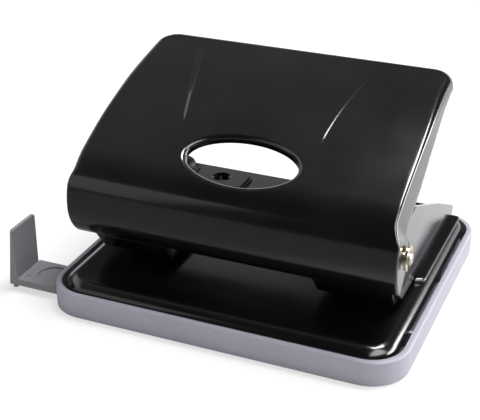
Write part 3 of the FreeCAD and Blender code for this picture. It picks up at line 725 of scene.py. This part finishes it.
def close_opening(mesh, rows, places, low, high, first, last):
    """Rings from the square hole's border, once round, to the foot of the rolled rim."""
    border = [(low, j) for j in range(first, last)] + [(k, last) for k in range(low, high)]
    border += [(high, j) for j in range(last, first, -1)]
    border += [(k, first) for k in range(high, low, -1)]
    square = [places[k][j] for k, j in border]
    ring = [rows[k][j] for k, j in border]
    for step in range(1, SQUARE_RINGS + 1):
        following = oval_ring(mesh, square, step / SQUARE_RINGS)
        mesh.strip(ring, following, closed=True)
        ring = following
    for step in range(1, RIM_RINGS + 1):
        following = rim_ring(mesh, square, math.pi / 2 * step / RIM_RINGS, 0.0)
        mesh.strip(ring, following, closed=True)
        ring = following
    foot = rim_ring(mesh, square, math.pi / 2, RIM_DEEP - RIM_ROLL)
    mesh.strip(ring, foot, closed=True)


def face_with_opening(mesh, rows, places):
    """Strips between all rows, but for the square hole, and the rings that fill it."""
    first = len(edges[0]) + OUTER_COLUMNS - 1
    last = first + INNER_COLUMNS
    patch_low = 2 * OPEN_AT - PATCH_TOP
    low = max(k for k, row in enumerate(places) if row[first][1] < patch_low)
    high = max(k for k, row in enumerate(places) if row[first][1] <= PATCH_TOP)
    for k in range(len(rows) - 1):
        if low <= k < high:
            mesh.strip(rows[k][:first + 1], rows[k + 1][:first + 1])
            mesh.strip(rows[k][last:], rows[k + 1][last:])
        else:
            mesh.strip(rows[k], rows[k + 1])
    close_opening(mesh, rows, places, low, high, first, last)


face_with_opening(lever_sheet, rows, places)
print("face has", len(lever_sheet.faces), "quads with its rim")

# %% [markdown]
# ## The back edge
#
# Between the round corners the back edge rolls over as the sides do. Its columns hang from
# the last row and take their shape from the last station.

# %% The back edge
def back_edge(mesh, last_row, last_places):
    """Columns down from the last row, between the two corners."""
    lead = len(edges[-1])
    along = length_at(edges[-1][0].y)
    columns = [last_row[:lead][::-1]]
    for j in range(lead, len(last_row) - lead):
        across = last_places[j][0]
        below = [mesh.point(Vector((across, p.y, p.z)), along) for p in edges[-1][1:]]
        columns.append([last_row[j]] + below)
    columns.append(last_row[-lead:])
    for one, other in zip(columns, columns[1:]):
        mesh.strip(one, other)


back_edge(lever_sheet, rows[-1], places[-1])
print(len(lever_sheet.points), "points", len(lever_sheet.faces), "faces")

# %% [markdown]
# ## From a surface to a steel sheet
#
# A pressed piece is drawn as its outer surface only. Its faces are turned to look
# outwards, and Blender's Solidify modifier adds the sheet's thickness on the inside. That
# keeps the wall even round every bend, which two drawn surfaces would not.

# %% From a surface to a steel sheet
SHEET = 1.2
UP = Vector((0, 0, 1))


def face_outwards(shape, towards):
    """Turns all faces one way; the widest one across towards looks along it."""
    bmesh.ops.recalc_face_normals(shape, faces=shape.faces)
    widest = max(shape.faces, key=lambda f: f.normal.dot(towards) ** 2 * f.calc_area())
    if widest.normal.dot(towards) < 0:
        bmesh.ops.reverse_faces(shape, faces=shape.faces)


def steel_sheet(name, shape, thickness):
    """The surface as an enamelled object of the given thickness in mm."""
    data = bpy.data.meshes.new(name)
    shape.to_mesh(data)
    shape.free()
    data.shade_smooth()
    data.materials.append(enamel)
    made = bpy.data.objects.new(name, data)
    scene.collection.objects.link(made)
    thick = made.modifiers.new("sheet_thickness", "SOLIDIFY")
    thick.thickness, thick.offset = thickness * MM, -1.0
    return made


print("sheet is", SHEET, "mm thick")

# %% [markdown]
# ## The lever in place
#
# The lever's points become a Blender mesh, and points that fall on the same place are
# merged. It takes the place of the solid lever and turns with it.

# %% The lever in place
SAME_PLACE = 0.002 * MM


def build_lever(sheet):
    """The pressed lever as an object."""
    drawn = bpy.data.meshes.new("lever_surface")
    drawn.from_pydata([p * MM for p in sheet.points], [], sheet.faces)
    drawn.validate()
    shape = bmesh.new()
    shape.from_mesh(drawn)
    bpy.data.meshes.remove(drawn)
    bmesh.ops.remove_doubles(shape, verts=shape.verts, dist=SAME_PLACE)
    face_outwards(shape, UP)
    return steel_sheet("pressed_lever", shape, SHEET)


lever = build_lever(lever_sheet)
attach(lever, "handle")
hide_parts("handle_shell")
print("lever has", len(lever.data.polygons), "faces")

# %% [markdown]
# ## The pan's rolled edge
#
# The pan is drawn from sheet: its walls lean in a little and its top edge rolls over in a
# wide soft curve, which carries a highlight round each corner. The solid has a tighter
# edge, so the pan is built again as rings, from its foot up to the flat.

# %% The pan's rings
PAN_HALF_X, PAN_HALF_Y, PAN_CORNER = 59.8, 52.8, 9.8
PAN_FOOT, PAN_TOP, PAN_ROLL = 7.0, 11.2, 4.4
PAN_DRAFT = math.radians(10.8)
ROLL_TURNS, CORNER_TURNS = 10, 12


def pan_ring(inset, z):
    """Rounded rectangle at one height, drawn in from the outline of the foot."""
    radius = PAN_CORNER - inset
    ring = []
    for sx, sy, first in ((1, 1, 0), (-1, 1, 90), (-1, -1, 180), (1, -1, 270)):
        corner_x, corner_y = sx * (PAN_HALF_X - PAN_CORNER), sy * (PAN_HALF_Y - PAN_CORNER)
        for k in range(CORNER_TURNS + 1):
            angle = math.radians(first + 90 * k / CORNER_TURNS)
            ring.append(Vector((corner_x + radius * math.cos(angle),
                                corner_y + radius * math.sin(angle), z)))
    return ring


def pan_profile():
    """(inset, height) up the wall and over the roll."""
    middle_z = PAN_TOP - PAN_ROLL
    middle = PAN_ROLL / math.cos(PAN_DRAFT) + (middle_z - PAN_FOOT) * math.tan(PAN_DRAFT)
    profile = [(0.0, PAN_FOOT)]
    for k in range(ROLL_TURNS + 1):
        lift = PAN_DRAFT + (math.pi / 2 - PAN_DRAFT) * k / ROLL_TURNS
        profile.append((middle - PAN_ROLL * math.cos(lift),
                        middle_z + PAN_ROLL * math.sin(lift)))
    return profile


print("pan's flat starts", round(pan_profile()[-1][0], 2), "mm in from the foot")

# %% [markdown]
# ## Flat areas with holes
#
# The pan's flat has two round seats for the dies, and each hinge ear has a hole for its
# peg. Blender fills a flat area between closed loops by itself, and leaves out the loops
# that lie inside another, so a hole costs no more than a circle of points. The borders
# stay crisp, so that the cut edge of the sheet doesn't smear into the flat.

# %% Flat areas with holes
DIE_SEAT, SEAT_TURNS = 5.0, 40


def circle(x, y, z, radius, count):
    """Points round a circle that lies flat."""
    return [Vector((x + radius * math.cos(math.tau * k / count),
                    y + radius * math.sin(math.tau * k / count), z)) for k in range(count)]


def fill_between(shape, loops):
    """Fills the flat area inside the first loop and outside the others."""
    borders = []
    for loop in loops:
        for k, vert in enumerate(loop):
            nxt = loop[(k + 1) % len(loop)]
            borders.append(shape.edges.get((vert, nxt)) or shape.edges.new((vert, nxt)))
    bmesh.ops.triangle_fill(shape, use_beauty=True, edges=borders)


def base_sheet(name, shape, thickness, towards):
    """A steel sheet of the base with crisp borders; it rides with the base."""
    face_outwards(shape, towards)
    for edge in shape.edges:
        edge.smooth = not edge.is_boundary
    made = steel_sheet(name, shape, thickness)
    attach(made, "base")
    return made


print("a seat's circle steps by", round(math.tau * DIE_SEAT / SEAT_TURNS, 2), "mm")

# %% [markdown]
# ## The pan
#
# The rings are joined with quads, and the flat inside the last ring is filled round the
# two seats.

# %% The pan
DIE_X, DIE_Y = 40.0, -18.0


def build_pan():
    """The drawn pan as an object."""
    shape = bmesh.new()
    rings = [[shape.verts.new(p * MM) for p in pan_ring(u, z)] for u, z in pan_profile()]
    for low, high in zip(rings, rings[1:]):
        for k in range(len(low)):
            nxt = (k + 1) % len(low)
            shape.faces.new((low[k], low[nxt], high[nxt], high[k]))
    seats = []
    for side in (-1, 1):
        seat = circle(side * DIE_X, DIE_Y, PAN_TOP, DIE_SEAT, SEAT_TURNS)
        seats.append([shape.verts.new(p * MM) for p in seat])
    fill_between(shape, [rings[-1]] + seats)
    return base_sheet("drawn_pan", shape, SHEET, UP)


pan = build_pan()
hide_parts("base_plate")
print("pan has", len(pan.data.polygons), "faces")

# %% [markdown]
# ## The hinge ears
#
# Two ears hang from the pan's back edge and turn on the tray's pegs when the punch is
# lifted to empty the tray. Each is a strip of thick sheet with a round end and a hole, so
# it is drawn as its outline and thickened, like the rest.

# %% The hinge ears
EAR_X, EAR_Y, EAR_Z, EAR_TOP = 44.6, 46.0, 6.2, 10.2
EAR_HALF, EAR_SHEET, PEG_HOLE = 3.0, 2.4, 1.55
EAR_TURNS, HOLE_TURNS = 12, 24


def build_ear(side, hand):
    """The ear on one side: the strip's two top corners, its round end and its hole."""
    shape = bmesh.new()
    x = side * EAR_X + EAR_SHEET / 2
    rim = [Vector((x, EAR_Y + EAR_HALF, EAR_TOP)), Vector((x, EAR_Y - EAR_HALF, EAR_TOP))]
    for k in range(EAR_TURNS + 1):
        angle = math.pi + math.pi * k / EAR_TURNS
        rim.append(Vector((x, EAR_Y + EAR_HALF * math.cos(angle),
                           EAR_Z + EAR_HALF * math.sin(angle))))
    hole = [Vector((x, EAR_Y + p.x, EAR_Z + p.y))
            for p in circle(0, 0, 0, PEG_HOLE, HOLE_TURNS)]
    fill_between(shape, [[shape.verts.new(p * MM) for p in loop] for loop in (rim, hole)])
    return base_sheet(hand + "_hinge_ear", shape, EAR_SHEET, Vector((1, 0, 0)))


ears = [build_ear(side, hand) for side, hand in ((-1, "left"), (1, "right"))]
print("made", " and ".join(ear.name for ear in ears))

# %% [markdown]
# ## The table
#
# The punch stands on a plain white sweep. In view the sweep is partly lit by itself, so
# that it stays white and still keeps the punch's shadow. In a reflection it is a glow with
# a painted reflection: white behind the punch and painted dim in front of it, which stands
# in for a sweep that only the rear lamps reach.

# %% The table
# Glow of the table as reflections see it, near and far: painted light and shade, dim in front
# and white behind.
TABLE_NEAR, TABLE_FAR = 0.24, 1.0
DIM_TO, WHITE_FROM = -0.10, 0.12
SELF_LIT = 0.6
FIBRE = 4 * MM
TABLE_REACH, TABLE_DROP = 8.0, 0.3 * MM


def table_finish():
    """Matt white card that is partly lit by itself; reflections see a glow painted dim in front.
    """
    material, tree, where = new_finish("matt_white_table")
    rays = add(tree, "ShaderNodeLightPath")
    fibre = add(tree, "ShaderNodeTexNoise", inputs={
        "Vector": (where, "Object"), "Scale": 1 / FIBRE, "Detail": 3.0})
    tooth = add(tree, "ShaderNodeBump", inputs={
        "Height": (fibre, 0), "Strength": 0.05, "Distance": 0.1 * MM})
    paper = add(tree, "ShaderNodeBsdfDiffuse", inputs={
        "Color": tint("f2f2f2"), "Roughness": 0.5, "Normal": (tooth, 0)})
    place = add(tree, "ShaderNodeSeparateXYZ", inputs={"Vector": (where, "Object")})
    far_side = add(tree, "ShaderNodeMath", {"operation": "ADD"}, {
        0: (place, "X"), 1: (place, "Y")})
    # The painted reflection: in reflections the table's glow grows from dim in front to white
    # behind.
    painted_reflection_level = add(tree, "ShaderNodeMapRange", {"interpolation_type": "SMOOTHSTEP"}, {
        "Value": (far_side, 0), "From Min": DIM_TO, "From Max": WHITE_FROM,
        "To Min": TABLE_NEAR, "To Max": TABLE_FAR})
    level = add(tree, "ShaderNodeMix", {"data_type": "FLOAT"}, {
        "Factor": (rays, "Is Glossy Ray"), "A": 1.0, "B": (painted_reflection_level, 0)})
    glow = add(tree, "ShaderNodeEmission", inputs={
        "Color": tint("ffffff"), "Strength": (level, 0)})
    in_view = add(tree, "ShaderNodeMath", {"operation": "MULTIPLY"}, {
        0: (rays, "Is Camera Ray"), 1: SELF_LIT})
    part_glow = add(tree, "ShaderNodeMath", {"operation": "MAXIMUM"}, {
        0: (rays, "Is Glossy Ray"), 1: (in_view, 0)})
    shader = add(tree, "ShaderNodeMixShader", inputs={
        0: (part_glow, 0), 1: (paper, 0), 2: (glow, 0)})
    close_finish(tree, shader)
    return material


corners = [(x * TABLE_REACH, y * TABLE_REACH, -TABLE_DROP)
           for x, y in ((-1, -1), (1, -1), (1, 1), (-1, 1))]
table_mesh = bpy.data.meshes.new("table")
table_mesh.from_pydata(corners, [], [(0, 1, 2, 3)])
table_mesh.materials.append(table_finish())
table = bpy.data.objects.new("table", table_mesh)
scene.collection.objects.link(table)
print("table", 2 * TABLE_REACH, "m wide")

# %% [markdown]
# ## Tools for the surroundings
#
# What gloss black shows is mostly its surroundings, so these are drawn with care. The
# world's colour can depend on the direction a ray looks in. One function makes a smooth
# ramp along one axis of that direction, and another joins two such lights.

# %% Tools for the surroundings
world = bpy.data.worlds.new("studio")
scene.world = world
world.use_nodes = True
air = world.node_tree
air.nodes.clear()
looking = add(air, "ShaderNodeTexCoord")
axes = add(air, "ShaderNodeSeparateXYZ", inputs={"Vector": (looking, "Generated")})
rays = add(air, "ShaderNodeLightPath")


def ramp(axis, start, end, low=0.0, high=1.0):
    """Smooth change of light between two values of one direction axis."""
    return add(air, "ShaderNodeMapRange", {"interpolation_type": "SMOOTHSTEP"}, {
        "Value": (axes, axis), "From Min": start, "From Max": end,
        "To Min": low, "To Max": high})


def joined(kind, one, other):
    """Two strengths of light joined by a product or the brighter of the two."""
    return add(air, "ShaderNodeMath", {"operation": kind}, {0: (one, 0), 1: (other, 0)})


print("the studio starts with", len(air.nodes), "nodes")

# %% [markdown]
# ## The surroundings
#
# Behind the punch the room is white along the horizon, and one panel reaches higher up.
# Overhead a dim ceiling is brighter to the left. Two cards, high on the left and on the
# right, draw the highlights on the rolled edges. All else is nearly dark, which is what
# makes gloss black look black. Only reflections see this room: the camera sees white, and
# matt surfaces get an even soft light.

# %% The surroundings
HORIZON_TOP, DARK_FROM = 0.16, 0.40
PANEL_TOP, PANEL_END, PANEL_LEVEL = 0.46, 0.56, 0.34
CEILING_LEFT, CEILING_RIGHT = 0.15, 0.02
LEFT_CARD, RIGHT_CARD = 1.1, 5.0
DARK_ROOM, DIFFUSE_LEVEL = 0.02, 0.36

behind = ramp("Y", -0.25, 0.35)
horizon = ramp("Z", HORIZON_TOP, DARK_FROM, 1.0, 0.0)
panel_height = ramp("Z", PANEL_TOP, PANEL_END, PANEL_LEVEL, 0.0)
panel_width = joined("MULTIPLY", ramp("X", -0.43, -0.39), ramp("X", -0.30, -0.24, 1.0, 0.0))
panel = joined("MULTIPLY", panel_height, panel_width)
backdrop = joined("MULTIPLY", behind, joined("MAXIMUM", horizon, panel))
ceiling = joined("MULTIPLY", joined("MULTIPLY", ramp("Y", -0.50, 0.15), ramp("Z", 0.50, 0.62)),
                 ramp("X", -0.60, 0.10, CEILING_LEFT, CEILING_RIGHT))
left_card = joined("MULTIPLY", ramp("X", -0.68, -0.46, LEFT_CARD, 0.0), ramp("Z", 0.42, 0.54))
right_card = joined("MULTIPLY", joined("MULTIPLY", ramp("X", 0.25, 0.42), ramp("Z", 0.30, 0.55)),
                    ramp("Y", -0.10, 0.10, RIGHT_CARD, 0.0))
room = joined("MAXIMUM", ceiling, joined("MAXIMUM", left_card, right_card))
lit_room = add(air, "ShaderNodeMath", {"operation": "ADD"}, {0: (room, 0), 1: DARK_ROOM})
mirrored_light = joined("MAXIMUM", backdrop, lit_room)
soft_light = add(air, "ShaderNodeMix", {"data_type": "FLOAT"}, {
    "Factor": (rays, "Is Glossy Ray"), "A": DIFFUSE_LEVEL, "B": (mirrored_light, 0)})
seen_light = add(air, "ShaderNodeMix", {"data_type": "FLOAT"}, {
    "Factor": (rays, "Is Camera Ray"), "A": (soft_light, 0), "B": 1.0})
sky = add(air, "ShaderNodeBackground", inputs={
    "Color": tint("ffffff"), "Strength": (seen_light, 0)})
add(air, "ShaderNodeOutputWorld", inputs={"Surface": (sky, 0)})
print("backdrop white up to", round(math.degrees(math.asin(HORIZON_TOP))), "degrees")

# %% [markdown]
# ## The lamps
#
# Three soft lamps light the punch. One hangs overhead, a little behind and to the right,
# and draws the long highlights. A wide bank lights the right side, and a weak one fills
# the front, so that the tray's wall doesn't go dark. Larger lamps would be softer still,
# but the overhead one would then show in the lever's face as a grey patch.

# %% The lamps
def softbox(name, toward, distance, width, height, watts):
    """A rectangular soft lamp that looks at the punch from the given direction."""
    light = bpy.data.lights.new(name, "AREA")
    light.shape = "RECTANGLE"
    light.size, light.size_y = width, height
    light.energy = watts
    lamp = bpy.data.objects.new(name, light)
    lamp.location = MIDDLE + Vector(toward).normalized() * distance
    lamp.rotation_euler = Vector(toward).to_track_quat("Z", "Y").to_euler()
    scene.collection.objects.link(lamp)
    return lamp


lamps = [softbox("overhead_softbox", (0.20, 0.27, 0.94), 1.3, 0.6, 0.6, 23.0),
         softbox("right_bank", (0.90, 0.42, 0.12), 1.6, 1.6, 0.6, 30.0),
         softbox("front_fill", (-0.65, -0.70, 0.30), 1.8, 1.2, 0.9, 1.9)]
print(len(lamps), "lamps,", round(sum(lamp.data.energy for lamp in lamps), 1), "W")
